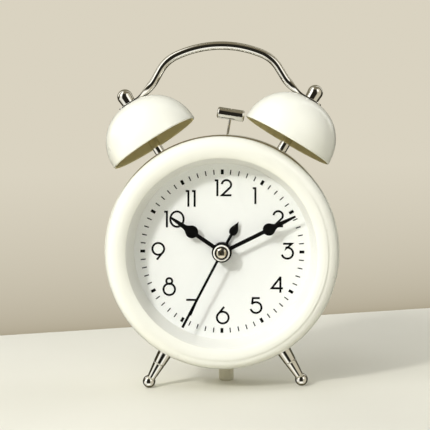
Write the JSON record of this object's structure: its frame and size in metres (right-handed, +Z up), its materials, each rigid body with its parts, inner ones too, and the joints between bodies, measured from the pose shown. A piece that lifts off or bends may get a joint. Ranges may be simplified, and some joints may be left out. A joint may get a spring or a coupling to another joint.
{
  "type": "twin-bell alarm clock",
  "caption": "Round twin-bell alarm clock on splayed ball-foot legs, with an arched rod handle, swinging hammer, spade hands and a quartz movement set from behind.",
  "frame": {"origin": "on the resting surface, under the middle of the width and depth", "axes": "+Z up, the dial faces -Y, +X to the right as the dial is read"},
  "size_m": [0.091, 0.045, 0.1367],
  "materials": {
    "cream_paint": "gloss enamel",
    "lens": "clear",
    "dial_white": "satin",
    "ring_white": "satin",
    "chrome": "polished plate",
    "hand_black": "satin",
    "cap_gold": "polished",
    "cover_plastic": "fine moulded texture",
    "knob_plastic": "moulded",
    "switch_black": "moulded",
    "foot_rubber": "matte",
    "movement_plastic": "moulded",
    "brass": "turned",
    "steel": "bright zinc",
    "copper": "enamelled wire",
    "board": "laminate",
    "cell": "printed jacket without words"
  },
  "bodies": {
    "clock": {"bezel": "cream_paint", "lens": "lens", "dial_ring": "ring_white", "dial": "dial_white", "case": "cream_paint", "rear_cover": "cover_plastic", "cover_screws": "steel", "battery": "cell", "contact_plus": "brass", "contact_minus": "brass", "movement_front": "movement_plastic", "movement_rear": "movement_plastic", "middle_plate": "movement_plastic", "circuit_board": "board", "stator": "steel", "coil": "copper", "left_bell": "cream_paint", "right_bell": "cream_paint", "left_post": "chrome", "right_post": "chrome", "left_nut": "chrome", "right_nut": "chrome", "post_nuts": "brass", "handle": "chrome", "hammer_pin": "steel", "hammer_bracket": "steel", "bell_core": "steel", "bell_coil": "copper", "left_leg": "chrome", "right_leg": "chrome", "rear_foot": "foot_rubber", "leg_nuts": "brass"},
    "minutes": {"minute_pipe": "brass", "minute_hand": "hand_black"},
    "hours": {"hour_wheel": "brass", "hour_hand": "hand_black"},
    "motion": {"motion_wheel": "brass"},
    "time_setting": {"time_set_shaft": "movement_plastic", "time_knob": "knob_plastic"},
    "seconds": {"second_wheel": "brass", "second_hand": "hand_black", "hand_cap": "cap_gold"},
    "third": {"third_wheel": "brass"},
    "centre": {"centre_wheel": "brass"},
    "fifth": {"fifth_wheel": "brass"},
    "motor": {"rotor": "steel"},
    "alarm": {"alarm_wheel": "brass", "alarm_hand": "hand_black"},
    "alarm_setting": {"alarm_set_shaft": "movement_plastic", "alarm_knob": "knob_plastic"},
    "hammer": {"hammer_head": "chrome", "hammer_wire": "chrome", "hammer_rocker": "movement_plastic", "hammer_magnet": "steel"},
    "switch": {"alarm_switch": "switch_black"},
    "door": {"battery_door": "cover_plastic"}
  },
  "joints": [
    {"name": "minute_turn", "type": "hinge", "parent": "clock", "child": "minutes", "pos_m": [0, 0, 0.05382], "axis": [0, 1, 0], "continuous": true},
    {"name": "hour_turn", "type": "hinge", "parent": "clock", "child": "hours", "pos_m": [0, 0, 0.05382], "axis": [0, 1, 0], "continuous": true},
    {"name": "motion_turn", "type": "hinge", "parent": "clock", "child": "motion", "pos_m": [-0.00875, 0, 0.06203], "axis": [0, 1, 0], "continuous": true},
    {"name": "time_knob_turn", "type": "hinge", "parent": "clock", "child": "time_setting", "pos_m": [-0.0175, 0, 0.05382], "axis": [0, 1, 0], "continuous": true},
    {"name": "second_turn", "type": "hinge", "parent": "clock", "child": "seconds", "pos_m": [0, 0, 0.05382], "axis": [0, 1, 0], "continuous": true},
    {"name": "third_turn", "type": "hinge", "parent": "clock", "child": "third", "pos_m": [0.00799, 0, 0.05091], "axis": [0, 1, 0], "continuous": true},
    {"name": "centre_turn", "type": "hinge", "parent": "clock", "child": "centre", "pos_m": [0, 0, 0.05382], "axis": [0, 1, 0], "continuous": true},
    {"name": "fifth_turn", "type": "hinge", "parent": "clock", "child": "fifth", "pos_m": [0.00223, 0, 0.06213], "axis": [0, 1, 0], "continuous": true},
    {"name": "rotor_turn", "type": "hinge", "parent": "clock", "child": "motor", "pos_m": [-0.00092, 0, 0.06758], "axis": [0, 1, 0], "continuous": true},
    {"name": "alarm_turn", "type": "hinge", "parent": "clock", "child": "alarm", "pos_m": [0, 0, 0.05382], "axis": [0, 1, 0], "continuous": true},
    {"name": "alarm_knob_turn", "type": "hinge", "parent": "clock", "child": "alarm_setting", "pos_m": [0.0175, 0, 0.05382], "axis": [0, 1, 0], "continuous": true},
    {"name": "hammer_swing", "type": "hinge", "parent": "clock", "child": "hammer", "pos_m": [0, -0.00097, 0.08382], "axis": [0, 1, 0], "range_deg": [-20.54, 0]},
    {"name": "switch_slide", "type": "slide", "parent": "clock", "child": "switch", "axis": [1, 0, 0], "range_m": [0, 0.005]},
    {"name": "door_slide", "type": "slide", "parent": "clock", "child": "door", "axis": [0, 1, 0], "range_m": [0, 0.025]}
  ],
  "couplings": [
    {"joint": "hour_turn", "follows": "minute_turn", "ratio": 0.083333},
    {"joint": "motion_turn", "follows": "minute_turn", "ratio": -0.33333},
    {"joint": "time_knob_turn", "follows": "minute_turn", "ratio": 1},
    {"joint": "third_turn", "follows": "second_turn", "ratio": -0.13333},
    {"joint": "centre_turn", "follows": "second_turn", "ratio": 0.016667},
    {"joint": "fifth_turn", "follows": "second_turn", "ratio": -3.75},
    {"joint": "rotor_turn", "follows": "second_turn", "ratio": 30},
    {"joint": "alarm_knob_turn", "follows": "alarm_turn", "ratio": -1.8}
  ]
}
